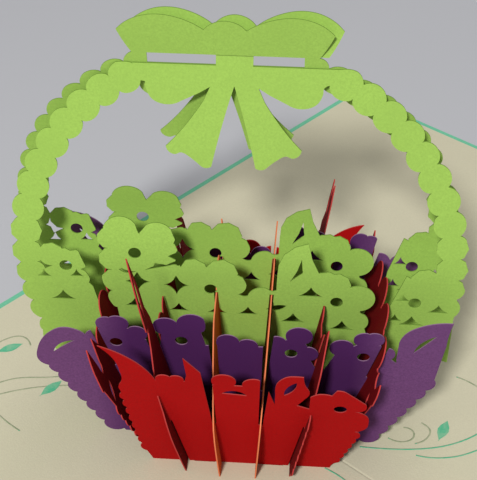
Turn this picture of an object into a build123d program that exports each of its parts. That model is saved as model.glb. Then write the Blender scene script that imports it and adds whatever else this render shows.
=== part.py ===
"""Pop-up greeting card with a flower basket, standing open and flat.

Millimetres. X runs along the long sheets of the basket, +Y points away from the viewer, +Z is up.
The origin is the middle of the open card on its underside, below the middle of the basket.

The card is a folded cover with a paper liner glued inside. The basket is a slice form: long sheets
and cross sheets, slotted half and half, so that each sheet passes through the others. The planes of
each family all meet in one level line under the card, so the sheets fan out as they rise.
"""
from build123d import *
import math
import os

# Papers
cover_thickness = 0.35
liner_thickness = 0.3
sheet_thickness = 0.3

# Open card
card_along_fold = 155.0
card_across_fold = 290.0
card_border = 2.0
card_turn = 38.5
crease_width = 0.9
crease_depth = 0.12

# Fan of the basket: the planes of each family meet this far under the card
fan_depth = 78.0

# Feet of the sheets, measured from the middle of the card
green_offset = 4.5
purple_offset = 13.5
red_offset = 22.5
orange_offset = 4.3
deep_offset = 12.6
outer_offset = 22.2
back_drop = 5.0

# Slots, tabs and slits
slot_clearance = 0.35
slot_end_clearance = 0.05
slot_flare = 1.5
slot_top = 66.0
orange_reach = 41.5
seat_height = 20.0
side_seat_height = 27.5
tab_width = 5.0
long_tab_place = 8.4
cross_tab_place = 9.0
slit_clearance = 0.12

# Green handle sheets
handle_half_width = 49.3
handle_level = 52.0
handle_rise = 50.0
flank_fall = 64.6
bead_radius = 3.7
bead_pitch = 6.0
handle_end_angle = 68.0
flank_end_angle = 50.0
front_lean = -0.0275
back_lean = -0.047
bend_level = 53.0
bend_radius = 60.0

# Bow, where the two green sheets pass through each other
bow_level = 100.3
bow_neck = 4.0
bow_slot_reach = 16.8
bow_slot_clearance = 0.05

# Shared details of the cut paper
hole_radius = 1.5
scallop_overlap = 0.62
wedge_hollow = 0.14
arc_step = 42.0
small_hole_sides = 7
margin = 60.0
tall = 130.0

liner_top = cover_thickness + liner_thickness


def bowed(start, end, bulge):
    """Points of an arc in short straight runs, without its end, so that the mesh stays light."""
    if not bulge:
        return [start]
    arc = SagittaArc(start, end, -bulge)
    turn = math.degrees(4 * math.atan(2 * abs(bulge) / math.dist(start, end)))
    runs = max(2, round(turn / arc_step))
    return [tuple(arc @ (index / runs))[:2] for index in range(runs)]


def patch(corners, bulges):
    """A face with its corners listed anticlockwise; each side bulges outwards by its own height."""
    points = []
    for start, end, bulge in zip(corners, corners[1:] + corners[:1], bulges):
        points += bowed(start, end, bulge)
    return make_face(Polyline(*points, close=True))


def block(*corners):
    """A straight-sided face."""
    return make_face(Polyline(*corners, close=True))


def leaf(root, tip, left, right):
    """A two-sided leaf; each side bulges by its own height, a negative one curves the leaf."""
    return patch([root, tip], [-left, -right])


def disc(place, radius):
    """A round shape in straight runs."""
    return Pos(*place) * RegularPolygon(radius, round(360 / arc_step))


def hole(place):
    return Pos(*place) * RegularPolygon(hole_radius, small_hole_sides)


def discs(*places):
    """Several round shapes, each given by its place and its radius."""
    return [disc((x, y), radius) for x, y, radius in places]


def star(place, reach, count, turn, hollow):
    """A star with as many tips as asked, its sides hollow arcs from tip to tip."""
    tips = []
    for index in range(count):
        angle = math.radians(turn + 360 * index / count)
        tips.append((place[0] + reach * math.cos(angle), place[1] + reach * math.sin(angle)))
    return patch(tips, [-hollow] * count)


def wedge(place, half_width, height):
    """A low three-sided cut-out with hollow flanks."""
    x, y = place
    corners = [(x - half_width, y), (x + half_width, y), (x, y + height)]
    return patch(corners, [0, -wedge_hollow * height, -wedge_hollow * height])


def spaced(path, pitch):
    """Points evenly along a path, about one pitch apart, the first and last at its ends."""
    count = max(2, round(path.length / pitch) + 1)
    return [tuple(path @ (index / (count - 1)))[:2] for index in range(count)]


def scallops(start, end, radius):
    """A scalloped edge between two points."""
    places = spaced(Line(start, end), 2 * radius * (1 - scallop_overlap / 2))
    return [disc(place, radius) for place in places]


def mirrored(shape):
    return mirror(shape, about=Plane.YZ)


def slant(offset):
    """Distance from a sheet's foot to the line where its family's planes meet."""
    return math.hypot(fan_depth, offset)


def crossing_strip(own, other, low, high, high_flare=0.0):
    """Strip in a sheet's own plane along the line where another sheet crosses it.

    The strip runs between two heights above the card, and may widen towards its upper end.
    """
    half_width = sheet_thickness / 2 + slot_clearance
    length = slant(own)
    along = Vector(other, length).normalized()
    side = Vector(along.Y, -along.X)
    foot = Vector(other * (1 + low / fan_depth), low * length / fan_depth)
    head = Vector(other * (1 + high / fan_depth), high * length / fan_depth)
    low_side = side * half_width
    high_side = side * (half_width + high_flare)
    corners = [foot - low_side, foot + low_side, head + high_side, head - high_side]
    return block(*corners)


def upper_slot(own, other, seat):
    """Slot from the seat to above the flowers, wider at its mouth."""
    return crossing_strip(own, other, seat - slot_end_clearance, slot_top, high_flare=slot_flare)


def lower_slot(own, other, seat):
    """Slot from under the sheet's foot up to the seat."""
    return crossing_strip(own, other, -margin / 4, seat + slot_end_clearance)


def tab_shape(place, extra=0.0):
    """Two tabs that reach down from the foot, with an allowance all round for their slits."""
    shape = Sketch()
    for side in (-1, 1):
        shape += Pos(side * place, 0) * Rectangle(tab_width + 2 * extra, 4 * liner_top)
    return shape


def trim_below(solid, level):
    return split(solid, bisect_by=Plane.XY.offset(level), keep=Keep.TOP)


def long_plane(offset):
    """Plane of a long sheet, its own X along the sheet and its own Y up the slope."""
    return Plane(origin=(0, offset, 0), x_dir=(1, 0, 0), z_dir=(0, -fan_depth, offset))


def cross_plane(offset):
    """Plane of a cross sheet, its own X pointing away from the viewer and its own Y up the slope."""
    return Plane(origin=(offset, 0, 0), x_dir=(0, 1, 0), z_dir=(fan_depth, 0, -offset))


def flat_sheet(plane, outline, tab_place):
    """Cut a flat sheet that stands on the liner and has tabs down to the cover."""
    body = extrude(plane * outline, amount=sheet_thickness / 2, both=True)
    tabs = extrude(plane * tab_shape(tab_place), amount=sheet_thickness / 2, both=True)
    return trim_below(body, liner_top) + trim_below(tabs, cover_thickness)


def slits(plane, tab_place):
    """Openings in the liner for one sheet's tabs."""
    return extrude(plane * tab_shape(tab_place, slit_clearance),
                   amount=sheet_thickness / 2 + slit_clearance, both=True)


def long_slots(own, ends_inside=False):
    """All slots of a long sheet.

    It is open upwards over the two middle cross sheets and the outer ones, and open downwards over
    the pair between them. A short sheet ends inside the outer cross sheets.
    """
    cuts = Sketch()
    for side in (-1, 1):
        cuts += upper_slot(own, side * orange_offset, seat_height)
        cuts += lower_slot(own, side * deep_offset, seat_height)
        if not ends_inside:
            cuts += upper_slot(own, side * outer_offset, side_seat_height)
    return cuts


def red_front_outline():
    """Front red sheet: curled leaf, bumps, thorn leaf, lobes with a slit, eyed leaf and a flower."""
    body = patch([(-21, 0), (22.3, 0), (26, 14), (28, 22), (17.4, 29.2), (13.5, 31), (8.6, 31), (6.8, 38.5),
                  (-6, 38.5), (-12, 39.4), (-18, 39.4), (-26.6, 35.6), (-24.6, 16)],
                 [0, 0.4, 0, 0, 0, 0, 0, 0, 0, 0, 0, 0, 0.6])
    curled_leaf = patch([(-26.6, 35.6), (-17.9, 36.5), (-17.9, 39.1), (-29.6, 52.7), (-25.7, 42.5)],
                        [0, 0, 1.9, -1.0, -0.6])
    thorn_leaf = patch([(-12.3, 35), (-5.8, 33), (-11.4, 49.2)], [0, 1.9, -0.9])
    eyed_leaf = patch([(8.6, 30), (13.5, 30.9), (16.4, 36.7), (15.3, 40.2), (14.9, 43.6), (11.4, 43.4),
                       (9.1, 40.5), (8.7, 36)],
                      [0, 0.2, 0, 0, 0.2, 0.3, 0.2, 0])
    flower = patch([(16.5, 28), (28, 20), (30, 22), (30, 27), (26.6, 29.4), (29, 30.2), (29.2, 32.8),
                    (24.6, 37.7), (22.4, 38.4), (21.4, 36.1), (18.8, 36.5), (16.6, 35)],
                   [0, 0, 0.3, 0.5, 0, 0.3, 0, 0.3, 0, 0, 0.2, 0])
    shape = body + curled_leaf + thorn_leaf + eyed_leaf + flower
    shape += discs((-16.2, 39.9, 1.8), (-13.4, 39.8, 1.8), (-2.8, 40.2, 2.8), (4.0, 39.0, 2.7))
    shape += scallops((-24.3, 31.5), (-21.4, 7), 2.5)
    shape += scallops((26.8, 18), (22.8, 5), 2.0)
    shape -= hole((23.5, 30.2))
    shape -= patch([(-3.4, 34.9), (2.4, 34.3)], [0, 1.7])
    return shape - leaf((10.7, 35.3), (13.4, 41.2), 0.9, 0.9)


def red_back_outline():
    """Back red sheet, lower than the front one: curled leaf, bumps and a small flower."""
    shape = patch([(-21, 0), (21, 0), (25, 16), (25.5, 25), (-25, 25), (-24.6, 16)],
                  [0, 0.6, 0, 0, 0, 0.6])
    shape += patch([(17.5, 23), (25.5, 23), (25.0, 27.5), (29.6, 36), (20, 31)], [0, 0, -0.5, 0.9, 0.9])
    shape += discs((-20.4, 28.4, 3.4), (-23, 25.4, 2.8), (-0.6, 27.2, 3.2), (5.4, 26, 3.0), (-8, 25, 2.6))
    shape += scallops((-25, 22), (-21.6, 6), 2.1)
    shape += scallops((25, 22), (21.6, 6), 2.1)
    return shape - hole((-20.4, 28.2))


def purple_outline():
    """Purple sheet: four flowers, two lobes, a drooping leaf and a rising leaf."""
    body = block((-29, 0), (29, 0), (34, 9), (42.5, 26), (44, 31), (37, 33), (35.7, 34.2), (34, 36),
                 (32.2, 40), (27, 40), (22, 36), (18.8, 27.5), (16.4, 33), (15.4, 38.5), (14.5, 40.4),
                 (10.8, 40.6), (7, 37.5), (-8, 37), (-9, 42), (-18, 42), (-19.4, 28), (-21.8, 38),
                 (-25.5, 42), (-32.4, 41.6), (-36, 37.5), (-42, 27), (-34, 9))
    drooping_leaf = patch([(-42.4, 27.5), (-36.4, 37), (-35.3, 38.3), (-41.2, 41.2), (-46.6, 36.2),
                           (-48.4, 29.4), (-46, 26.6)],
                          [0, 0, 0.9, 0.7, 0.4, 0.6, 0.3])
    rising_leaf = patch([(36.4, 31), (45.6, 28), (46.9, 41), (47.6, 49), (38.6, 46), (36.2, 40)],
                        [0, 0, -0.2, 0.9, 0.7, 0.2])
    shape = body + drooping_leaf + rising_leaf
    shape += discs((-33.4, 38.2, 2.7), (-30.7, 43.2, 2.5), (-28.2, 43.5, 2.7), (-24.0, 40.2, 2.6))
    shape += discs((-17.0, 43.3, 3.0), (-11.0, 44.5, 3.5), (-2.9, 38.5, 2.8), (1.7, 37.4, 2.5))
    shape += discs((8.2, 38.9, 2.7), (13.5, 42.0, 3.1), (15.5, 35.6, 2.6))
    shape += discs((23.4, 38.4, 2.9), (28.4, 41.7, 2.5), (30.6, 42.0, 2.3), (33.3, 37.0, 2.4))
    for side in (-1, 1):
        shape += scallops((side * 43.2, 26.5), (side * 31.8, 3.5), 2.9)
    for place in ((-28.9, 36.8), (-13.6, 38.4), (11.8, 35.6), (28.5, 35.5)):
        shape -= hole(place)
    shape -= leaf((-44.2, 31.8), (-38.6, 36.6), 1.3, -0.2)
    return shape - leaf((39.7, 37.8), (44.6, 44.4), 1.1, 0.1)


def bow_outline():
    """Bow as cut in each green sheet about its own middle: knot, upper and lower loops and two tails."""
    shape = patch([(-4.5, 94.4), (4.5, 94.4), (4.5, 107.8), (-4.5, 107.8)], [0, 0, 2.3, 0])
    upper_loop = patch([(3, 96), (19.4, 96), (19.4, 100.6), (22.9, 107.3), (14.6, 111.3), (4.5, 107.8)],
                       [0, 0, 0.2, 1.0, 0.9, 0])
    lower_loop = patch([(4, 95), (11.5, 90.8), (17.8, 91.0), (19.4, 96), (19.4, 100), (4, 100)],
                       [0.2, 1.0, 0.5, 0, 0, 0])
    tail = patch([(0, 94.6), (4.9, 75.6), (8.0, 76.4), (11.6, 78.8), (15.0, 80.2), (9.3, 87.0), (4.8, 95.2)],
                 [-0.2, 0.7, -0.2, 1.1, -0.2, -0.4, 0])
    half = upper_loop + lower_loop + tail
    return shape + half + mirrored(half)


def between_outer(low, high):
    """Region between the two outer cross sheets, seen from the front."""
    def reach(level):
        return outer_offset * (1 + level / fan_depth)

    return block((-reach(low), low), (reach(low), low), (reach(high), high), (-reach(high), high))


def basket_flowers():
    """Tongue of the green sheets between the outer cross sheets: three flowers and a leaf."""
    shape = block((-29, 20), (29, 20), (29.6, 30), (27, 41), (16, 46), (0, 41), (-16, 50), (-31, 46),
                  (-30.6, 36))
    shape += discs((-25.5, 52.9, 5.6), (-28.6, 58.2, 4.2), (-31.4, 56.6, 2.8), (-20.2, 57.0, 4.2))
    shape += discs((-18.8, 53.4, 3.6), (-30.7, 50.9, 3.4), (-30.2, 44.4, 3.6), (-29.4, 38.6, 3.3))
    shape += discs((-12.0, 48.2, 3.7), (-5.3, 48.1, 3.9), (-2.9, 44.6, 3.5), (4.4, 40.4, 3.6))
    shape += discs((19.4, 46.2, 3.6), (21.8, 46.1, 3.3), (27.0, 41.9, 4.0), (26.6, 34.4, 3.3))
    return shape + patch([(8.0, 40), (17.8, 44), (17.5, 49.2), (14.8, 57.4), (9.3, 54.2), (7.8, 48)],
                         [0, 0, -0.4, 0.6, 0.5, 0.2])


def basket_lobes():
    """Side lobes of the green sheets, which join the tongue's foot to the flank beads."""
    left = block((-50, 22), (-33, 27), (-36, 42), (-42, 50), (-49, 46))
    left += discs((-45.2, 51.4, 3.3), (-42.3, 50.2, 3.2), (-39.7, 50.0, 3.0), (-40.2, 44.4, 3.6))
    right = block((50, 22), (50, 44), (42, 47), (35, 44), (33, 27))
    right += discs((36.6, 46.8, 3.2), (42.2, 48.2, 3.6), (45.4, 45.4, 3.0), (37.8, 39.6, 3.4))
    return left + right - between_outer(side_seat_height, tall)


def basket_holes():
    """Flower eyes and the hollow-sided gaps between the petals."""
    cuts = Sketch()
    for place in ((-42.0, 48.4), (-25.5, 52.9), (-7.9, 42.9), (22.0, 40.5), (40.3, 41.4)):
        cuts += hole(place)
    for place in ((-14.8, 52.4), (-25.2, 44.3), (-16.0, 43.7)):
        cuts += star(place, 3.0, 4, 0, 0.6)
    for place in ((-43.4, 37.6), (11.8, 33.4), (15.8, 42.0), (23.6, 31.6), (40.0, 34.2)):
        cuts += wedge(place, 3.0, 2.9)
    for place in ((-26.2, 36.4), (-15.6, 35.5), (-6.4, 35.3), (1.0, 35.3), (46.0, 38.6)):
        cuts += wedge(place, 2.5, 2.4)
    for place in ((-47.4, 44.8), (-39.6, 45.2), (37.4, 42.0), (36.0, 35.4)):
        cuts += wedge(place, 1.7, 2.2)
    cuts += leaf((10.8, 46.4), (13.4, 53.2), -0.3, 1.7)
    return cuts + leaf((5.2, 37.2), (10.2, 38.6), 0.7, 1.0)


def chain_beads(lean):
    """Bead chain of the handle and the flanks, on both sides, leaning sideways as it rises."""
    centre = (0, handle_level)
    rise = EllipticalCenterArc(centre, handle_half_width, handle_rise, 0, arc_size=handle_end_angle)
    fall = EllipticalCenterArc(centre, handle_half_width, flank_fall, 0, arc_size=-flank_end_angle)
    places = spaced(rise, bead_pitch) + spaced(fall, bead_pitch)
    return [disc((side * x + lean * y, y), bead_radius) for side in (-1, 1) for x, y in places]


def green_outline(lean):
    """Outline of a green sheet as seen from the front."""
    foot = block((-29, 0), (29, 0), (42, 13), (48, 30), (37, 36), (34, 27), (-34, 27), (-37, 36),
                 (-48, 30), (-42, 13))
    bow = Pos(lean * bow_level, 0) * bow_outline()
    return foot + basket_flowers() + basket_lobes() + chain_beads(lean) + bow


def bow_slots(lean, is_front):
    """Slots that let the green sheets pass through each other at the bow.

    The front sheet keeps only its knot and is open at both sides. The back sheet has one closed slot.
    """
    steepness = math.atan((bend_level / fan_depth + 1) * green_offset / (bow_level - bend_level))
    height = 2 * (sheet_thickness / 2 + bow_slot_clearance) / math.sin(steepness)
    middle = lean * bow_level
    if not is_front:
        return Pos(middle, bow_level) * Rectangle(2 * bow_slot_reach, height)
    cuts = Sketch()
    for side in (-1, 1):
        cuts += Pos(middle + side * (bow_neck + margin), bow_level) * Rectangle(2 * margin, height)
    return cuts


def green_slots():
    """Slots of a green sheet, drawn with no offset of their own because a front view has no slope."""
    cuts = Sketch()
    for side in (-1, 1):
        cuts += crossing_strip(0, side * orange_offset, seat_height - slot_end_clearance, orange_reach + 0.5)
        cuts += lower_slot(0, side * deep_offset, seat_height)
        cuts += upper_slot(0, side * outer_offset, side_seat_height)
    return cuts


def green_strip(offset):
    """The green paper seen end on: it leans outwards, bends over and crosses its twin at the bow."""
    def outward(level):
        return offset * (1 + level / fan_depth)

    knee = outward(bend_level)
    slope = -knee / (bow_level - bend_level)
    head = knee + slope * (tall - bend_level)
    path = FilletPolyline((outward(-margin / 4), -margin / 4), (knee, bend_level), (head, tall),
                          radius=bend_radius)
    return extrude(Plane.YZ * trace(path, line_width=sheet_thickness), amount=margin * 2, both=True)


def green_sheet(offset, lean):
    """Cut a green sheet by its front view and give it its tabs."""
    body = extrude(Plane.XZ * green_outline(lean), amount=margin, both=True) & green_strip(offset)
    cuts = basket_holes() + bow_slots(lean, offset < 0) + green_slots()
    body -= extrude(Plane.XZ * cuts, amount=margin, both=True)
    tabs = extrude(long_plane(offset) * tab_shape(long_tab_place), amount=sheet_thickness / 2, both=True)
    return trim_below(body, liner_top) + trim_below(tabs, cover_thickness)


def cross_slots(own, upper, ends_inside=False):
    """All slots of a cross sheet, over the long sheets that it crosses."""
    slot = upper_slot if upper else lower_slot
    seat = side_seat_height if ends_inside else seat_height
    crossed = (green_offset, purple_offset) if ends_inside else (green_offset, purple_offset, red_offset)
    cuts = Sketch()
    for other in crossed:
        cuts += slot(own, -other, seat)
        cuts += slot(own, other, seat)
    return cuts


def orange_outline():
    """Orange cross sheet: scalloped flanks, a low front leaf, a high middle and a thin rear tip."""
    shape = patch([(-27.5, 0), (27.5, 0), (30, 18), (29, 25), (17, 32), (6, orange_reach), (3.5, 45), (-3.5, 45),
                   (-6, orange_reach), (-15, 40), (-25, 29.5), (-31, 20), (-31, 16)],
                  [0, 0.6, 0.3, -0.8, 0, 0, 0.5, 0, 0, 0.6, 0.6, 0, 0.4])
    shape += patch([(9, 34), (18.5, 30), (14.4, 48)], [0, 1.4, -1.0])
    return shape + scallops((28, 22), (26, 4), 2.2)


def deep_outline(ring_height, leaf_height):
    """Deep red cross sheet: a tall ringed leaf at one end, a plain leaf at the other, low lobes between."""
    shape = patch([(-26.2, 0), (26.2, 0), (31, 16), (32, 26), (20, 38), (-15, 38), (-33, 35), (-31.4, 18)],
                  [0, 0.3, 0.2, 0, 0, 0, -0.2, 0.3])
    shape += patch([(-33, 34), (-19, 34), (-21, 41), (-25.2, 52.5)], [0, 0, 0.5, -0.8])
    ring_root = min(51, ring_height - 10)
    shape += patch([(-28.6, ring_root - 3), (-25.0, ring_root - 3), (-28.8, ring_height)], [0, 0.9, 0.6])
    shape += patch([(13, 32), (31, 28), (24, leaf_height)], [0, 1.8, 0.8])
    shape += discs((-15.5, 38, 3.6), (-8.5, 38, 3.4), (0, 38.5, 3.8), (8.5, 37.5, 3.4))
    shape += scallops((30.2, 24), (27, 5), 2.3)
    return shape - leaf((-27.2, ring_root), (-28.2, ring_height - 4.5), 0.7, 0.7)


def outer_outline(leaf_height):
    """Outer red cross sheet: double front leaf, notched middle and a curled rear leaf."""
    shape = block((-19, 0), (19, 0), (23.5, 12), (26, 24), (14, 37), (-14, 40), (-20, 36), (-30, 32),
                  (-26, 20), (-22.3, 9))
    shape += patch([(-26.6, 30), (-20.6, 32), (-24.2, leaf_height)], [0, 0.9, -0.2])
    shape += patch([(-30.2, 31), (-26.0, 31), (-28.8, leaf_height + 0.6)], [0, 0.2, 0.8])
    shape += patch([(17, 30), (26.4, 22), (29, 37)], [0, -1.0, 2.2])
    shape += discs((-18.5, 37, 4.0), (-9.5, 39, 4.4), (0, 39, 4.6), (9.5, 37, 4.2))
    shape += scallops((24.6, 22), (20.2, 5), 2.1)
    shape += scallops((-25.7, 22), (-20.2, 5), 2.1)
    return shape - leaf((-26.4, 24.4), (-25, 30.2), 0.6, 0.6)


def card_sheet(low, high, border):
    """One flat rectangle of the open card, between two levels."""
    size = (card_along_fold - 2 * border, card_across_fold - 2 * border)
    sheet = extrude(Rectangle(*size), amount=high - low)
    return Rot(0, 0, -card_turn) * Pos(0, 0, low) * sheet


def crease(level):
    """Groove pressed along the fold, centred on a level."""
    section = block((-crease_width / 2, 0), (0, -crease_depth), (crease_width / 2, 0), (0, crease_depth))
    groove = extrude(Plane.YZ * section, amount=card_along_fold, both=True)
    return Rot(0, 0, -card_turn) * Pos(0, 0, level) * groove


def inner_liner():
    """Paper liner, inset from the cover, with the slits for all tabs."""
    sheet = card_sheet(cover_thickness, liner_top, card_border) - crease(liner_top)
    for offset in (green_offset, purple_offset, red_offset):
        for side in (-1, 1):
            sheet -= slits(long_plane(side * offset), long_tab_place)
    for offset in (orange_offset, deep_offset, outer_offset):
        for side in (-1, 1):
            sheet -= slits(cross_plane(side * offset), cross_tab_place)
    return sheet


nodes = {
    "outer_cover": card_sheet(0, cover_thickness, 0) - crease(0),
    "inner_liner": inner_liner(),
}

# Long sheets, from the front: the purple one behind is the front one turned round and set lower
for side, place, lean in ((-1, "front", front_lean), (1, "back", back_lean)):
    nodes[f"green_{place}_sheet"] = green_sheet(side * green_offset, lean)
    purple = purple_outline() if side < 0 else Pos(0, -back_drop) * mirrored(purple_outline())
    purple -= long_slots(side * purple_offset)
    nodes[f"purple_{place}_sheet"] = flat_sheet(long_plane(side * purple_offset), purple, long_tab_place)
    red = red_front_outline() if side < 0 else red_back_outline()
    red -= long_slots(side * red_offset, ends_inside=True)
    nodes[f"red_{place}_sheet"] = flat_sheet(long_plane(side * red_offset), red, long_tab_place)

# Cross sheets: the deep red one at the right is the left one turned round and set lower
for side, place in ((-1, "left"), (1, "right")):
    orange = orange_outline() - cross_slots(side * orange_offset, upper=False)
    nodes[f"orange_{place}_sheet"] = flat_sheet(cross_plane(side * orange_offset), orange, cross_tab_place)
    deep = deep_outline(69, 44) if side < 0 else mirrored(deep_outline(52, 47))
    deep -= cross_slots(side * deep_offset, upper=True)
    nodes[f"deep_{place}_sheet"] = flat_sheet(cross_plane(side * deep_offset), deep, cross_tab_place)
    outer = outer_outline(42.4 if side < 0 else 36)
    outer -= cross_slots(side * outer_offset, upper=False, ends_inside=True)
    nodes[f"outer_{place}_sheet"] = flat_sheet(cross_plane(side * outer_offset), outer, cross_tab_place)

os.makedirs("parts", exist_ok=True)
for name, solid in nodes.items():
    export_step(solid, f"parts/{name}.step")
    print(name, round(solid.volume, 2), len(solid.solids()), solid.is_valid)
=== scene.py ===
"""Looks of an open pop-up greeting card with a slotted paper flower basket.

Cover and liner keep their solids. The cut sheets are cut again with round petals, beads and leaves in
place of the short straight runs of their solids. This script gives all of them their papers, prints the
vines on the liner and sets the table, the light and the camera.
"""

import logging
import math
from bisect import bisect_right
from dataclasses import dataclass, field
from enum import Enum

import bmesh
import bpy
from mathutils import Matrix, Vector


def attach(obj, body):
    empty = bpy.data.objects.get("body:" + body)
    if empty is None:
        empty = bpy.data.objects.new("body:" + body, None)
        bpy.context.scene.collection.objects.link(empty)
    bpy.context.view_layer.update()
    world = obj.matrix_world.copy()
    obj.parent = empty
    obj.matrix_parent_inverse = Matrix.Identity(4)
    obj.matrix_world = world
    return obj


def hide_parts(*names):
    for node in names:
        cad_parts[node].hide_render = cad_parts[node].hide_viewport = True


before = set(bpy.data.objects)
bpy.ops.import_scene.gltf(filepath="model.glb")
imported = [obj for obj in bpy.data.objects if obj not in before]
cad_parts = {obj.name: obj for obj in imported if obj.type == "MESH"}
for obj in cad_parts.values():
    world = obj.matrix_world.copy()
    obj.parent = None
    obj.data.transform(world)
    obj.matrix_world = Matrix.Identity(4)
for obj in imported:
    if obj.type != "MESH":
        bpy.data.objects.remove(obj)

LOG = logging.getLogger("card")
MM = 0.001
BODY = "root"

MIX_SHARE, MIX_LOW, MIX_HIGH = 0, 6, 7
MIX_COLOUR = 2
RANDOM_LOW, RANDOM_HIGH = 2, 3
RANDOM_NUMBER = 1

Colour = tuple[float, float, float]
Place = tuple[float, float, float]
Point = tuple[float, float]


class Side(Enum):
    """The axis that a sheet's two faces look along."""

    X = 0
    Y = 1
    Z = 2


def linear(red: int, green: int, blue: int) -> Colour:
    """Turn a screen colour into a linear one.

    Args:
        red: red from 0 to 255.
        green: green from 0 to 255.
        blue: blue from 0 to 255.

    Returns:
        The linear colour.
    """
    shares = (red / 255, green / 255, blue / 255)
    return tuple(c / 12.92 if c <= 0.04045 else ((c + 0.055) / 1.055) ** 2.4 for c in shares)


def round_pairs(items: list | tuple) -> list[tuple]:
    """Pair each item with the next one, and the last with the first."""
    return list(zip(items, items[1:] + items[:1]))


def put(name: str, data: bpy.types.ID) -> bpy.types.Object:
    """Make an object at the origin and show it."""
    made = bpy.data.objects.new(name, data)
    bpy.context.scene.collection.objects.link(made)
    return made


def shaped_mesh(name: str, curve: bpy.types.Curve, tree: bpy.types.NodeTree,
                settings: dict[str, object]) -> bpy.types.Mesh:
    """Run a Geometry Nodes tree over a curve, and keep only the mesh it makes.

    Args:
        name: the mesh's name.
        curve: the curve, which is used up.
        tree: the tree.
        settings: values of the tree's inputs, by their identifiers.

    Returns:
        A plain mesh.
    """
    source = put(name + "_path", curve)
    modifier = source.modifiers.new("shape", "NODES")
    modifier.node_group = tree
    for identifier, value in settings.items():
        modifier[identifier] = value
    bpy.context.view_layer.update()
    graph = bpy.context.evaluated_depsgraph_get()
    mesh = bpy.data.meshes.new_from_object(source.evaluated_get(graph), depsgraph=graph)
    bpy.data.objects.remove(source)
    bpy.data.curves.remove(curve)
    mesh.name = name
    return mesh


@dataclass
class NodeBench:
    """Adds nodes to a tree and joins them."""

    tree: bpy.types.NodeTree

    def add(self, kind: str, **settings) -> bpy.types.Node:
        """Add a node and set its properties."""
        node = self.tree.nodes.new(kind)
        for name, value in settings.items():
            setattr(node, name, value)
        return node

    def join(self, source: bpy.types.NodeSocket, target: bpy.types.NodeSocket) -> None:
        """Link two sockets."""
        self.tree.links.new(source, target)

    def maths(self, operation: str, first, second=None) -> bpy.types.NodeSocket:
        """Add a Math node.

        Args:
            operation: the node's operation.
            first: a socket or a number.
            second: a socket or a number, where the operation takes two.

        Returns:
            The result's socket.
        """
        node = self.add("ShaderNodeMath", operation=operation)
        for index, value in enumerate((first, second)):
            if isinstance(value, bpy.types.NodeSocket):
                self.join(value, node.inputs[index])
            elif value is not None:
                node.inputs[index].default_value = value
        return node.outputs[0]

    def mix(self, share, low, high) -> bpy.types.NodeSocket:
        """Mix two colours, each a socket or a colour, by a share."""
        node = self.add("ShaderNodeMix", data_type="RGBA")
        for index, value in ((MIX_SHARE, share), (MIX_LOW, low), (MIX_HIGH, high)):
            socket = node.inputs[index]
            if isinstance(value, bpy.types.NodeSocket):
                self.join(value, socket)
            elif isinstance(value, tuple):
                socket.default_value = (*value, 1)
            else:
                socket.default_value = value
        return node.outputs[MIX_COLOUR]

    def noise(self, place: bpy.types.NodeSocket, scale: float, detail: float,
              rough: float = 0.5) -> bpy.types.NodeSocket:
        """Add a noise on the object's own coordinates."""
        node = self.add("ShaderNodeTexNoise")
        node.inputs["Scale"].default_value = scale
        node.inputs["Detail"].default_value = detail
        node.inputs["Roughness"].default_value = rough
        self.join(place, node.inputs["Vector"])
        return node.outputs[0]

    def span(self, value: bpy.types.NodeSocket, low: float, high: float, to_low: float = 0.0,
             to_high: float = 1.0) -> bpy.types.NodeSocket:
        """Stretch a range of values over another, held at its ends."""
        node = self.add("ShaderNodeMapRange", clamp=True)
        for index, number in enumerate((low, high, to_low, to_high), start=1):
            node.inputs[index].default_value = number
        self.join(value, node.inputs[0])
        return node.outputs[0]


def darkened(colour: Colour, share: float) -> Colour:
    """Take a share of its light away from a colour."""
    return tuple(c * (1 - share) for c in colour)


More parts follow.
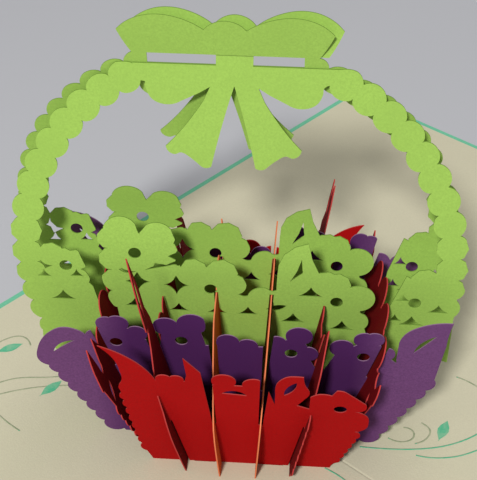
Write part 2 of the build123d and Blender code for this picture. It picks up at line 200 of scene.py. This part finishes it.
@dataclass(frozen=True)
class PaperFinish:
    """Matt paper, coloured through, with a paler cut edge and a fine grain.

    A paper with a middle colour takes that colour as painted shade in the middle of the card, and keeps its
    own lit colour at both ends.
    Cloud and speck say how much darker the paper's wide and fine noise can make it.
    """

    name: str
    face: Colour
    edge: Colour
    faces_along: Side
    middle: Colour | None = None
    middle_reach: Point = (26 * MM, 36 * MM)
    cloud: float = 0.08
    speck: float = 0.16
    noise_span: Point = (0.35, 0.65)
    cloud_scale: float = 55.0
    cloud_detail: float = 3.0
    speck_scale: float = 1900.0
    speck_detail: float = 4.0
    speck_rough: float = 0.7
    grain_height: float = 0.03 * MM
    grain_strength: float = 0.6
    roughness: float = 0.86
    rough_spread: float = 0.06
    specular: float = 0.08
    edge_limit: float = 0.55

    def material(self) -> bpy.types.Material:
        """Build the paper's material.

        Returns:
            A new material.
        """
        made = bpy.data.materials.new(self.name)
        made.use_nodes = True
        bench = NodeBench(made.node_tree)
        shader = made.node_tree.nodes["Principled BSDF"]
        place = bench.add("ShaderNodeTexCoord").outputs["Object"]
        cloud = bench.span(bench.noise(place, self.cloud_scale, self.cloud_detail), *self.noise_span)
        grain = bench.noise(place, self.speck_scale, self.speck_detail, self.speck_rough)
        speck = bench.span(grain, *self.noise_span)
        tone = bench.mix(cloud, darkened(self.face, self.cloud), self.face)
        tone = bench.mix(speck, darkened(self.face, self.speck), tone)
        # Painted shade: the middle of the card darkens to the middle colour, and the lit ends keep the
        # paper's own colour.
        if self.middle is not None:
            where = bench.add("ShaderNodeSeparateXYZ")
            bench.join(place, where.inputs[0])
            share = bench.span(bench.maths("ABSOLUTE", where.outputs[0]), *self.middle_reach)
            tone = bench.mix(share, self.middle, tone)
        normal = bench.add("ShaderNodeSeparateXYZ")
        bench.join(bench.add("ShaderNodeNewGeometry").outputs["Normal"], normal.inputs[0])
        facing = bench.maths("ABSOLUTE", normal.outputs[self.faces_along.value])
        is_edge = bench.maths("LESS_THAN", facing, self.edge_limit)
        bench.join(bench.mix(is_edge, tone, self.edge), shader.inputs["Base Color"])
        rough = bench.span(speck, 0.0, 1.0, self.roughness - self.rough_spread,
                           self.roughness + self.rough_spread)
        bench.join(rough, shader.inputs["Roughness"])
        shader.inputs["Specular IOR Level"].default_value = self.specular
        bump = bench.add("ShaderNodeBump")
        bump.inputs["Strength"].default_value = self.grain_strength
        bump.inputs["Distance"].default_value = self.grain_height
        bench.join(speck, bump.inputs["Height"])
        bench.join(bump.outputs[0], shader.inputs["Normal"])
        return made


GREEN_TONE = linear(151, 187, 84)
CUT_GREEN_TONE = linear(104, 134, 52)
PURPLE_TONE = linear(113, 70, 117)
# Painted shade: the purple as it looks shaded in the middle of the basket.
SHADED_PURPLE_TONE = linear(74, 34, 84)
RED_TONE = linear(168, 10, 12)
# Painted shade: the red paper darkened as it looks in shade on the cross sheets, which stand nearly edge-on.
SHADED_RED_TONE = linear(112, 8, 12)
ORANGE_TONE = linear(216, 104, 44)
CREAM_TONE = linear(196, 190, 164)
TEAL_TONE = linear(112, 188, 152)
PALE_TONE = linear(226, 206, 196)


def paled(colour: Colour, share: float) -> Colour:
    """Mix a colour with the pale core of the paper."""
    return tuple(c + (p - c) * share for c, p in zip(colour, PALE_TONE))


class Paper(Enum):
    """The papers of the card, each for one way of facing."""

    GREEN = PaperFinish("green_paper", GREEN_TONE, CUT_GREEN_TONE, Side.Y)
    # The purple's middle colour is painted shade.
    PURPLE = PaperFinish("purple_paper", PURPLE_TONE, paled(PURPLE_TONE, 0.12), Side.Y, SHADED_PURPLE_TONE,
                         speck=0.3)
    RED = PaperFinish("red_paper", RED_TONE, paled(RED_TONE, 0.08), Side.Y)
    # Painted shade: red paper given the shaded red, with the red's own cut edge.
    SHADED_RED = PaperFinish("deep_red_paper", SHADED_RED_TONE, paled(RED_TONE, 0.06), Side.X)
    ORANGE = PaperFinish("orange_paper", ORANGE_TONE, paled(ORANGE_TONE, 0.1), Side.X)
    TEAL = PaperFinish("teal_card", TEAL_TONE, paled(TEAL_TONE, 0.2), Side.Z)
    CREAM = PaperFinish("cream_paper", CREAM_TONE, paled(CREAM_TONE, 0.3), Side.Z, cloud=0.03, speck=0.07)


@dataclass(frozen=True)
class Rounding:
    """How the short straight runs of a cut outline become curves again. Lengths are millimetres.

    Attributes:
        corner: a turn above this angle stays a sharp corner.
        straight: in a small outline, a corner that turns less than this is dropped.
        small_outline: an outline shorter than this all round is a small one.
        short_run: runs longer than this are straight edges, unless their neighbour is as long.
        like_run: how many times as long a run may be and still count as being as long.
        step: the length of the new runs.
        fewest: the fewest new runs in place of one.
        pull: how strongly the curve follows its tangents.
    """

    corner: float = math.radians(56)
    straight: float = math.radians(1.5)
    small_outline: float = 15.0
    short_run: float = 4.2
    like_run: float = 1.15
    step: float = 0.7
    fewest: int = 3
    pull: float = 1.04

    def curve(self, points: list[Vector]) -> list[Vector]:
        """Round a closed outline, and keep its corners and its long edges.

        Args:
            points: the outline's corners in order.

        Returns:
            The finer outline, through the same corners.
        """
        around = sum((after - here).length for here, after in round_pairs(points))
        if around < self.small_outline:
            points = [here for before, here, after
                      in zip(points[-1:] + points[:-1], points, points[1:] + points[:1])
                      if (here - before).angle(after - here, 0.0) > self.straight]
        runs = [after - here for here, after in round_pairs(points)]
        tangents = [self._tangent(before, after) for before, after in zip(runs[-1:] + runs[:-1], runs)]
        finer = []
        for index, run in enumerate(runs):
            finer.append(points[index])
            leaving, arriving = tangents[index], tangents[(index + 1) % len(points)]
            if leaving is None and arriving is None:
                continue
            leaving = leaving or self._across(run, arriving)
            arriving = arriving or self._across(run, leaving)
            finer += self._between(points[index], run, leaving, arriving)
        return finer

    def _tangent(self, before: Vector, after: Vector) -> Vector | None:
        """The direction of the outline at a soft corner, or nothing at a sharp one."""
        if before.angle(after) > self.corner:
            return None
        low, high = sorted((before.length, after.length))
        if high > self.short_run and high > low * self.like_run:
            return None
        return (before.normalized() + after.normalized()).normalized()

    @staticmethod
    def _across(run: Vector, tangent: Vector) -> Vector:
        """The direction at a run's other end, were the run a round arc."""
        chord = run.normalized()
        return 2 * tangent.dot(chord) * chord - tangent

    def _between(self, start: Vector, run: Vector, leaving: Vector, arriving: Vector) -> list[Vector]:
        """Points on a smooth curve over one run, without the run's ends."""
        count = max(self.fewest, round(run.length / self.step))
        reach = run.length * self.pull
        points = []
        for index in range(1, count):
            s = index / count
            bend = (s ** 3 - 2 * s ** 2 + s) * leaving + (s ** 3 - s ** 2) * arriving
            points.append(start + (3 * s ** 2 - 2 * s ** 3) * run + reach * bend)
        return points


class Profile:
    """How deep a sheet's face lies at each height. All heights and depths are metres."""

    def __init__(self, faces: list[bmesh.types.BMFace], axis: int) -> None:
        """Read the profile from the faces of one side.

        Args:
            faces: the faces of that side.
            axis: the axis along which depth is measured.
        """
        found = {round(corner.co.z, 6): corner.co[axis] for face in faces for corner in face.verts}
        self.heights = sorted(found)
        self.depths = [found[height] for height in self.heights]

    def depth(self, height: float) -> float:
        """Find the depth at one height."""
        place = min(max(bisect_right(self.heights, height), 1), len(self.heights) - 1)
        low, high = self.heights[place - 1], self.heights[place]
        share = min(max((height - low) / (high - low), 0.0), 1.0)
        return self.depths[place - 1] + share * (self.depths[place] - self.depths[place - 1])


class OutlineFill:
    """Geometry Nodes tree that fills closed outlines with triangles and leaves their holes open."""

    def __init__(self) -> None:
        """Build the tree."""
        self.tree = bpy.data.node_groups.new("filled_outline", "GeometryNodeTree")
        face = self.tree.interface
        face.new_socket("Geometry", in_out="INPUT", socket_type="NodeSocketGeometry")
        face.new_socket("Geometry", in_out="OUTPUT", socket_type="NodeSocketGeometry")
        bench = NodeBench(self.tree)
        fill = bench.add("GeometryNodeFillCurve")
        bench.join(bench.add("NodeGroupInput").outputs[0], fill.inputs["Curve"])
        bench.join(fill.outputs[0], bench.add("NodeGroupOutput").inputs[0])

    def fill(self, name: str, outlines: list[list[Vector]]) -> bpy.types.Mesh:
        """Fill some outlines.

        Args:
            name: the mesh's name.
            outlines: the outer outline and the outlines of its holes.

        Returns:
            A flat mesh of triangles.
        """
        curve = bpy.data.curves.new(name + "_path", "CURVE")
        curve.dimensions = "3D"
        for outline in outlines:
            spline = curve.splines.new("POLY")
            spline.points.add(len(outline) - 1)
            spline.use_cyclic_u = True
            for point, place in zip(spline.points, outline):
                point.co = (place.x, place.y, 0, 1)
        return shaped_mesh(name, curve, self.tree, {})


@dataclass
class CutSheet:
    """One sheet of paper, seen along its facing axis and cut again with round outlines.

    Attributes:
        node: the solid that the sheet stands in for.
        paper: the sheet's paper.
        bend_levels: heights where a bent sheet gets more edges, in millimetres.
        narrowest_gap: an outline that is narrower than this is left out, in millimetres.
        weld: corners of the solid that are nearer than this are one, in millimetres.
        rounding: how the outlines are rounded.
    """

    node: str
    paper: Paper
    bend_levels: tuple[float, ...] = ()
    narrowest_gap: float = 0.45
    weld: float = 0.005
    rounding: Rounding = Rounding()

    def build(self, finish: bpy.types.Material, filler: OutlineFill) -> bpy.types.Object:
        """Cut the sheet and put it in its solid's place.

        Args:
            finish: the sheet's material.
            filler: what fills the sheet's outlines.

        Returns:
            The piece, at the origin.
        """
        solid = bmesh.new()
        solid.from_mesh(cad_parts[self.node].data)
        bmesh.ops.remove_doubles(solid, verts=solid.verts, dist=self.weld * MM)
        axis = self.paper.value.faces_along.value
        limit = self.paper.value.edge_limit
        front = [face for face in solid.faces if face.normal[axis] > limit]
        back = [face for face in solid.faces if face.normal[axis] < -limit]
        profiles = (Profile(back, axis), Profile(front, axis))
        outlines = self._outlines(solid, front, 1 - axis)
        solid.free()
        piece = self._cut(filler.fill("cut_" + self.node, outlines), profiles, axis)
        piece.data.materials.append(finish)
        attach(piece, BODY)
        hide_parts(self.node)
        LOG.info("cut %s with %d outlines and %d faces", piece.name, len(outlines), len(piece.data.polygons))
        return piece

    def _outlines(self, solid: bmesh.types.BMesh, front: list[bmesh.types.BMFace],
                  across: int) -> list[list[Vector]]:
        """Follow the edges of the front and round them, held inside the solid's own box."""
        solid.verts.index_update()
        solid.verts.ensure_lookup_table()
        links = self._links(solid, set(front))
        outlines = []
        while links:
            places = [solid.verts[index].co for index in self._walk(links)]
            outline = [Vector((place[across], place.z)) / MM for place in places]
            if self._width(outline) > self.narrowest_gap:
                outlines.append(outline)
        corners = [point for outline in outlines for point in outline]
        low = Vector((min(p.x for p in corners), min(p.y for p in corners)))
        high = Vector((max(p.x for p in corners), max(p.y for p in corners)))
        return [[Vector((min(max(p.x, low.x), high.x), min(max(p.y, low.y), high.y)))
                 for p in self.rounding.curve(outline)] for outline in outlines]

    @staticmethod
    def _links(solid: bmesh.types.BMesh, inside: set[bmesh.types.BMFace]) -> dict[int, list[int]]:
        """Note for each corner on the border of some faces the corners next to it."""
        links: dict[int, list[int]] = {}
        for edge in solid.edges:
            if sum(face in inside for face in edge.link_faces) == 1:
                one, other = (corner.index for corner in edge.verts)
                links.setdefault(one, []).append(other)
                links.setdefault(other, []).append(one)
        return links

    @staticmethod
    def _walk(links: dict[int, list[int]]) -> list[int]:
        """Follow one closed outline, and take its steps out of the links."""
        start = here = min(links)
        walked = []
        while here in links:
            walked.append(here)
            after = links[here].pop(0)
            links[after].remove(here)
            for index in (here, after):
                if index in links and not links[index]:
                    del links[index]
            here = after
            if here == start:
                break
        return walked

    @staticmethod
    def _width(outline: list[Vector]) -> float:
        """How wide an outline is, were it a long narrow gap."""
        pairs = round_pairs(outline)
        area = abs(sum(here.x * after.y - after.x * here.y for here, after in pairs)) / 2
        return 2 * area / sum((after - here).length for here, after in pairs)

    def _cut(self, mesh: bpy.types.Mesh, profiles: tuple[Profile, Profile], axis: int) -> bpy.types.Object:
        """Give the filled outlines a front, a back and edges, and bend them to the profiles."""
        made = bmesh.new()
        triangles = [tuple(face.vertices) for face in mesh.polygons]
        used = sorted({index for triangle in triangles for index in triangle})
        levels = [{index: made.verts.new((*mesh.vertices[index].co.xy, level)) for index in used}
                  for level in (-1.0, 1.0)]
        sides = {side for triangle in triangles for side in round_pairs(triangle)}
        for triangle in triangles:
            made.faces.new([levels[0][index] for index in reversed(triangle)])
            made.faces.new([levels[1][index] for index in triangle])
        for one, other in sorted(sides):
            if (other, one) not in sides:
                made.faces.new((levels[0][one], levels[0][other], levels[1][other], levels[1][one]))
        for level in self.bend_levels:
            parts = list(made.verts) + list(made.edges) + list(made.faces)
            bmesh.ops.bisect_plane(made, geom=parts, plane_co=(0, level, 0), plane_no=(0, 1, 0))
        for corner in made.verts:
            height = corner.co.y * MM
            place = [0.0, 0.0, height]
            place[1 - axis] = corner.co.x * MM
            place[axis] = profiles[corner.co.z > 0].depth(height)
            corner.co = place
        bmesh.ops.recalc_face_normals(made, faces=made.faces)
        made.to_mesh(mesh)
        made.free()
        return put("cut_" + self.node, mesh)


@dataclass
class DressedSheets:
    """The papers of the card and of the basket."""

    flat: dict[str, Paper] = field(default_factory=lambda: {
        "outer_cover": Paper.TEAL,
        "inner_liner": Paper.CREAM,
    })
    cut: dict[str, Paper] = field(default_factory=lambda: {
        "green_front_sheet": Paper.GREEN,
        "green_back_sheet": Paper.GREEN,
        "purple_front_sheet": Paper.PURPLE,
        "purple_back_sheet": Paper.PURPLE,
        "red_front_sheet": Paper.RED,
        "red_back_sheet": Paper.RED,
        "orange_left_sheet": Paper.ORANGE,
        "orange_right_sheet": Paper.ORANGE,
        # These four cross sheets are red paper with painted shade.
        "deep_left_sheet": Paper.SHADED_RED,
        "deep_right_sheet": Paper.SHADED_RED,
        "outer_left_sheet": Paper.SHADED_RED,
        "outer_right_sheet": Paper.SHADED_RED,
    })
    # The green sheets bend between these heights, in millimetres.
    bent_from: int = 30
    bent_to: int = 76
    bend_step: int = 2

    def dress(self) -> None:
        """Give the flat solids their papers and cut the sheets of the basket."""
        finishes = {paper: paper.value.material() for paper in Paper}
        filler = OutlineFill()
        for name, paper in self.flat.items():
            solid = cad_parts[name]
            solid.data.materials.clear()
            solid.data.materials.append(finishes[paper])
            LOG.info("dressed %s in %s", name, paper.value.name)
        bends = tuple(float(level) for level in range(self.bent_from, self.bent_to, self.bend_step))
        for name, paper in self.cut.items():
            levels = bends if paper is Paper.GREEN else ()
            CutSheet(name, paper, levels).build(finishes[paper], filler)


@dataclass(frozen=True)
class PrintFinish:
    """Thin matt ink."""

    name: str
    ink: Colour
    fade: float = 0.25
    noise_scale: float = 700.0
    noise_detail: float = 3.0
    noise_span: Point = (0.35, 0.7)
    roughness: float = 0.7
    specular: float = 0.2

    def material(self) -> bpy.types.Material:
        """Build the ink's material, a little uneven as printed ink is."""
        made = bpy.data.materials.new(self.name)
        made.use_nodes = True
        bench = NodeBench(made.node_tree)
        shader = made.node_tree.nodes["Principled BSDF"]
        place = bench.add("ShaderNodeTexCoord").outputs["Object"]
        share = bench.span(bench.noise(place, self.noise_scale, self.noise_detail), *self.noise_span)
        thin = tuple(c + (p - c) * self.fade for c, p in zip(self.ink, CREAM_TONE))
        bench.join(bench.mix(share, self.ink, thin), shader.inputs["Base Color"])
        shader.inputs["Roughness"].default_value = self.roughness
        shader.inputs["Specular IOR Level"].default_value = self.specular
        return made


@dataclass(frozen=True)
class Stem:
    """One stem of the print, a smooth line near a few points.

    Points are millimetres on the card, along the fold and across it. The width is the share of the
    print's stem width at the start and at the end.
    """

    points: tuple[Point, ...]
    width: Point = (1.0, 1.0)


class VineTree:
    """Geometry Nodes tree that prints stems along curves, and leaves that point along them."""

    leaf_corners = 16
    leaf_radius = 0.5
    leaf_taper = 3.6
    leaf_root = 0.55
    leaf_swing = 0.25
    path_steps = 12
    smoothest = 4

    def __init__(self) -> None:
        """Build the tree."""
        self.tree = bpy.data.node_groups.new("printed_vine", "GeometryNodeTree")
        face = self.tree.interface
        face.new_socket("Geometry", in_out="INPUT", socket_type="NodeSocketGeometry")
        self.sockets = {}
        for name, kind in (("Stem Width", "NodeSocketFloat"), ("Ink Height", "NodeSocketFloat"),
                           ("Leaf Length", "NodeSocketFloat"), ("Leaf Width", "NodeSocketFloat"),
                           ("Leaf Gap", "NodeSocketFloat"), ("Seed", "NodeSocketInt"),
                           ("Stem Ink", "NodeSocketMaterial"), ("Leaf Ink", "NodeSocketMaterial")):
            self.sockets[name] = face.new_socket(name, in_out="INPUT", socket_type=kind).identifier
        face.new_socket("Geometry", in_out="OUTPUT", socket_type="NodeSocketGeometry")
        self._fill()

    def _fill(self) -> None:
        """Add the tree's nodes."""
        bench = NodeBench(self.tree)
        given = bench.add("NodeGroupInput").outputs
        flat = bench.add("GeometryNodeSetCurveNormal", mode="Z_UP")
        bench.join(given["Geometry"], flat.inputs["Curve"])
        both = bench.add("GeometryNodeJoinGeometry")
        for draw in (self._stems, self._leaves):
            bench.join(draw(bench, given, flat.outputs[0]), both.inputs[0])
        bench.join(both.outputs[0], bench.add("NodeGroupOutput").inputs[0])

    @staticmethod
    def _inked(bench: NodeBench, mesh: bpy.types.NodeSocket,
               ink: bpy.types.NodeSocket) -> bpy.types.NodeSocket:
        """Give a mesh its ink."""
        node = bench.add("GeometryNodeSetMaterial")
        bench.join(mesh, node.inputs["Geometry"])
        bench.join(ink, node.inputs["Material"])
        return node.outputs[0]

    def _stems(self, bench: NodeBench, given, paths: bpy.types.NodeSocket) -> bpy.types.NodeSocket:
        """Lay a thin flat strip along each path."""
        profile = bench.add("GeometryNodeCurvePrimitiveQuadrilateral")
        bench.join(given["Stem Width"], profile.inputs["Width"])
        bench.join(given["Ink Height"], profile.inputs["Height"])
        stem = bench.add("GeometryNodeCurveToMesh")
        stem.inputs["Fill Caps"].default_value = True
        bench.join(paths, stem.inputs["Curve"])
        bench.join(profile.outputs[0], stem.inputs["Profile Curve"])
        return self._inked(bench, stem.outputs[0], given["Stem Ink"])

    def _leaf(self, bench: NodeBench, given) -> bpy.types.NodeSocket:
        """Shape one leaf from a thin disc, pointed at both ends."""
        blade = bench.add("GeometryNodeMeshCircle", fill_type="NGON")
        blade.inputs["Vertices"].default_value = self.leaf_corners
        blade.inputs["Radius"].default_value = self.leaf_radius
        thick = bench.add("GeometryNodeExtrudeMesh", mode="FACES")
        bench.join(blade.outputs[0], thick.inputs["Mesh"])
        bench.join(given["Ink Height"], thick.inputs["Offset Scale"])
        place = bench.add("ShaderNodeSeparateXYZ")
        bench.join(bench.add("GeometryNodeInputPosition").outputs[0], place.inputs[0])
        x, y, z = place.outputs
        narrowing = bench.maths("MULTIPLY", self.leaf_taper, bench.maths("MULTIPLY", x, x))
        taper = bench.maths("SUBTRACT", 1.0, narrowing)
        along = bench.maths("MULTIPLY", bench.maths("ADD", x, self.leaf_root), given["Leaf Length"])
        across = bench.maths("MULTIPLY", bench.maths("MULTIPLY", y, taper), given["Leaf Width"])
        joined = bench.add("ShaderNodeCombineXYZ")
        for source, target in zip((along, across, z), joined.inputs):
            bench.join(source, target)
        shaped = bench.add("GeometryNodeSetPosition")
        bench.join(thick.outputs[0], shaped.inputs["Geometry"])
        bench.join(joined.outputs[0], shaped.inputs["Position"])
        return shaped.outputs[0]

    def _leaves(self, bench: NodeBench, given, paths: bpy.types.NodeSocket) -> bpy.types.NodeSocket:
        """Put leaves along each path, each swung a little at random."""
        points = bench.add("GeometryNodeCurveToPoints", mode="LENGTH")
        bench.join(paths, points.inputs["Curve"])
        bench.join(given["Leaf Gap"], points.inputs["Length"])
        swing = bench.add("FunctionNodeRandomValue", data_type="FLOAT")
        swing.inputs[RANDOM_LOW].default_value = -self.leaf_swing
        swing.inputs[RANDOM_HIGH].default_value = self.leaf_swing
        bench.join(given["Seed"], swing.inputs["Seed"])
        spin = bench.add("ShaderNodeCombineXYZ")
        bench.join(swing.outputs[RANDOM_NUMBER], spin.inputs["Z"])
        tangent = bench.add("FunctionNodeAlignRotationToVector", axis="X")
        bench.join(points.outputs["Tangent"], tangent.inputs["Vector"])
        turned = bench.add("FunctionNodeRotateRotation", rotation_space="GLOBAL")
        bench.join(tangent.outputs[0], turned.inputs["Rotation"])
        euler = bench.add("FunctionNodeEulerToRotation")
        bench.join(spin.outputs[0], euler.inputs[0])
        bench.join(euler.outputs[0], turned.inputs["Rotate By"])
        leaves = bench.add("GeometryNodeInstanceOnPoints")
        bench.join(points.outputs["Points"], leaves.inputs["Points"])
        bench.join(self._leaf(bench, given), leaves.inputs["Instance"])
        bench.join(turned.outputs[0], leaves.inputs["Rotation"])
        plain = bench.add("GeometryNodeRealizeInstances")
        bench.join(leaves.outputs[0], plain.inputs[0])
        return self._inked(bench, plain.outputs[0], given["Leaf Ink"])

    def grow(self, name: str, stems: tuple[Stem, ...], settings: dict[str, object], level: float,
             turn: float) -> bpy.types.Object:
        """Print some stems as one plain mesh.

        Args:
            name: the piece's name.
            stems: the stems.
            settings: values of the tree's inputs, by their names.
            level: height of the ink's middle, in metres.
            turn: how far the card is turned against the basket, in degrees.

        Returns:
            The piece, at the origin.
        """
        curve = bpy.data.curves.new(name + "_path", "CURVE")
        curve.dimensions = "3D"
        spin = Matrix.Rotation(math.radians(-turn), 4, "Z")
        for stem in stems:
            spline = curve.splines.new("NURBS")
            last = len(stem.points) - 1
            spline.points.add(last)
            for index, (x, y) in enumerate(stem.points):
                spline.points[index].co = (*(spin @ Vector((x * MM, y * MM, level))), 1)
                spline.points[index].radius = stem.width[0] + (stem.width[1] - stem.width[0]) * index / last
            spline.order_u = min(self.smoothest, last + 1)
            spline.use_endpoint_u = True
            spline.resolution_u = self.path_steps
        given = {self.sockets[label]: value for label, value in settings.items()}
        return put(name, shaped_mesh(name, curve, self.tree, given))


THIN_STEMS = (
    Stem(((-41, -26), (-42, -29), (-49, -34), (-52, -40), (-55, -50), (-54, -66), (-44, -74), (-38, -66))),
    Stem(((-36.6, -27.6), (-43.5, -33.7), (-48.3, -41.7), (-50, -47)), (1.0, 0.5)),
    Stem(((-34.0, -47.6), (-41.2, -48.3), (-53.7, -46.2), (-62, -40), (-66, -30), (-62, -22), (-57, -25))),
    Stem(((42.6, 16.8), (43.7, 18.4), (44.2, 21.4), (42.6, 24.2), (39.6, 23.8))),
    Stem(((36.4, 13.8), (38.8, 13.9), (41.4, 16.2), (41.2, 19.6), (38.7, 20.6), (37.2, 19.4))),
    Stem(((36.6, 44.1), (39.5, 44.9), (44.0, 44.9), (52.0, 43.0), (60, 48), (60, 58), (53, 60)), (0.8, 1.4)),
)
BOLD_STEMS = (
    Stem(((33.0, 6.6), (38.5, 10.4), (44.4, 15.6), (49.4, 21.8), (52.8, 30.0), (53.5, 39.0), (49, 52),
          (39, 58)), (1.7, 0.7)),
    Stem(((45.1, 13.8), (47.9, 15.0), (51.6, 18.4), (54.4, 22.6), (57.0, 30), (62, 37), (70, 35)),
         (0.5, 1.5)),
    Stem(((31.0, -4.8), (35.4, -4.1), (40.4, -4.9), (49, -9), (54, -18), (49, -26), (43, -21)), (1.4, 0.6)),
)
LEAF_STALKS = (
    Stem(((-40.0, -36.1), (-39.7, -33.0))),
    Stem(((-61.8, -33.3), (-61.1, -29.1))),
    Stem(((46.4, 21.6), (46.0, 25.0))),
    Stem(((-54.5, -58), (-60, -61))),
    Stem(((-48, -73), (-45, -79))),
    Stem(((52, 48), (58, 52))),
    Stem(((54, -14), (60, -12))),
    Stem(((66, 37), (70, 42))),
)


@dataclass
class LinerPrint:
    """Thin stems and leaves printed on the liner, beside the basket.

    Lengths are millimetres. A leaf's size is its length and its width, and a bud is the tiny leaf at the
    start of a stem. The leaf gap is so long that a leaf stands alone on its stalk.
    """

    card_turn: float = 38.5
    liner_top: float = 0.65
    ink_height: float = 0.03
    stem_width: float = 0.42
    stalk_share: float = 1 / 3
    leaf_size: Point = (7.4, 2.9)
    bud_size: Point = (0.6, 0.3)
    leaf_gap: float = 90.0
    seed: int = 4

    def build(self, tree: VineTree) -> None:
        """Print the stems and leaves on the liner."""
        teal = PrintFinish("teal_ink", linear(78, 168, 128)).material()
        grey = PrintFinish("grey_green_ink", linear(138, 148, 116), fade=0.4).material()
        level = (self.liner_top + self.ink_height / 2) * MM
        stalk_width = self.stem_width * self.stalk_share
        for name, stems, width, ink, leaf in (
                ("print_thin_stems", THIN_STEMS, self.stem_width, grey, self.bud_size),
                ("print_bold_stems", BOLD_STEMS, self.stem_width, teal, self.bud_size),
                ("print_leaves", LEAF_STALKS, stalk_width, teal, self.leaf_size)):
            settings = {"Stem Width": width * MM, "Ink Height": self.ink_height * MM,
                        "Leaf Length": leaf[0] * MM, "Leaf Width": leaf[1] * MM,
                        "Leaf Gap": self.leaf_gap * MM, "Seed": self.seed, "Stem Ink": ink, "Leaf Ink": teal}
            piece = tree.grow(name, stems, settings, level, self.card_turn)
            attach(piece, BODY)
            LOG.info("printed %s with %d faces", name, len(piece.data.polygons))


@dataclass(frozen=True)
class Lamp:
    """A soft round lamp. Place and size are metres, and the power is watts."""

    name: str
    place: Place
    size: float
    power: float


KEY_LAMP = Lamp("key", (-0.17, -0.82, 0.8), 0.13, 12.8)
FILL_LAMP = Lamp("fill", (0.3, 0.7, 0.8), 0.9, 2.4)


@dataclass
class Studio:
    """Table, light and camera. Lengths are metres."""

    table_half: float = 3.0
    table_tone: Colour = linear(175, 175, 178)
    table_roughness: float = 0.9
    lit_point: Place = (0, 0, 0.04)
    room_tone: Colour = (0.96, 0.97, 1.0)
    room_strength: float = 0.4
    lens: float = 89.17
    sensor: float = 36.0
    nearest: float = 0.01
    farthest: float = 20.0
    place: Place = (12.78 * MM, -223.38 * MM, 222.41 * MM)
    ahead: Place = (-0.05181, 0.79474, -0.60474)
    right: Place = (0.99770, 0.06769, 0.00348)

    def build(self) -> None:
        """Set up the table, the lamps, the world and the camera."""
        self._table()
        self._hang(KEY_LAMP)
        self._hang(FILL_LAMP)
        self._world()
        self._camera()
        bpy.context.scene.view_settings.view_transform = "Standard"

    def _table(self) -> None:
        """Lay the pale table top."""
        mesh = bpy.data.meshes.new("table_top")
        half = self.table_half
        corners = [(-half, -half, 0), (half, -half, 0), (half, half, 0), (-half, half, 0)]
        mesh.from_pydata(corners, [], [(0, 1, 2, 3)])
        table = put("table_top", mesh)
        finish = bpy.data.materials.new("table_top")
        finish.use_nodes = True
        shader = finish.node_tree.nodes["Principled BSDF"]
        shader.inputs["Base Color"].default_value = (*self.table_tone, 1)
        shader.inputs["Roughness"].default_value = self.table_roughness
        mesh.materials.append(finish)

    def _hang(self, lamp: Lamp) -> None:
        """Hang a lamp that looks at the basket."""
        data = bpy.data.lights.new(lamp.name, "AREA")
        data.shape = "DISK"
        data.size = lamp.size
        data.energy = lamp.power
        hung = put(lamp.name, data)
        hung.location = lamp.place
        hung.rotation_mode = "QUATERNION"
        hung.rotation_quaternion = (Vector(self.lit_point) - Vector(lamp.place)).to_track_quat("-Z", "Y")

    def _world(self) -> None:
        """Make the even light of the room."""
        world = bpy.data.worlds.new("room")
        world.use_nodes = True
        background = world.node_tree.nodes["Background"].inputs
        background["Color"].default_value = (*self.room_tone, 1)
        background["Strength"].default_value = self.room_strength
        bpy.context.scene.world = world

    def _camera(self) -> None:
        """Place the camera where the photograph was taken from."""
        data = bpy.data.cameras.new("camera")
        data.lens = self.lens
        data.sensor_width = self.sensor
        data.clip_start = self.nearest
        data.clip_end = self.farthest
        camera = put("camera", data)
        ahead, right = Vector(self.ahead), Vector(self.right)
        above = right.cross(ahead)
        basis = Matrix((right, above, -ahead)).transposed()
        camera.matrix_world = Matrix.Translation(self.place) @ basis.to_4x4()
        bpy.context.scene.camera = camera


def main() -> None:
    """Dress the solids, print the liner and set the scene."""
    logging.basicConfig(level=logging.INFO, format="%(name)s: %(message)s")
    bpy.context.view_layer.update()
    DressedSheets().dress()
    LinerPrint().build(VineTree())
    Studio().build()


if __name__ == "__main__":
    main()
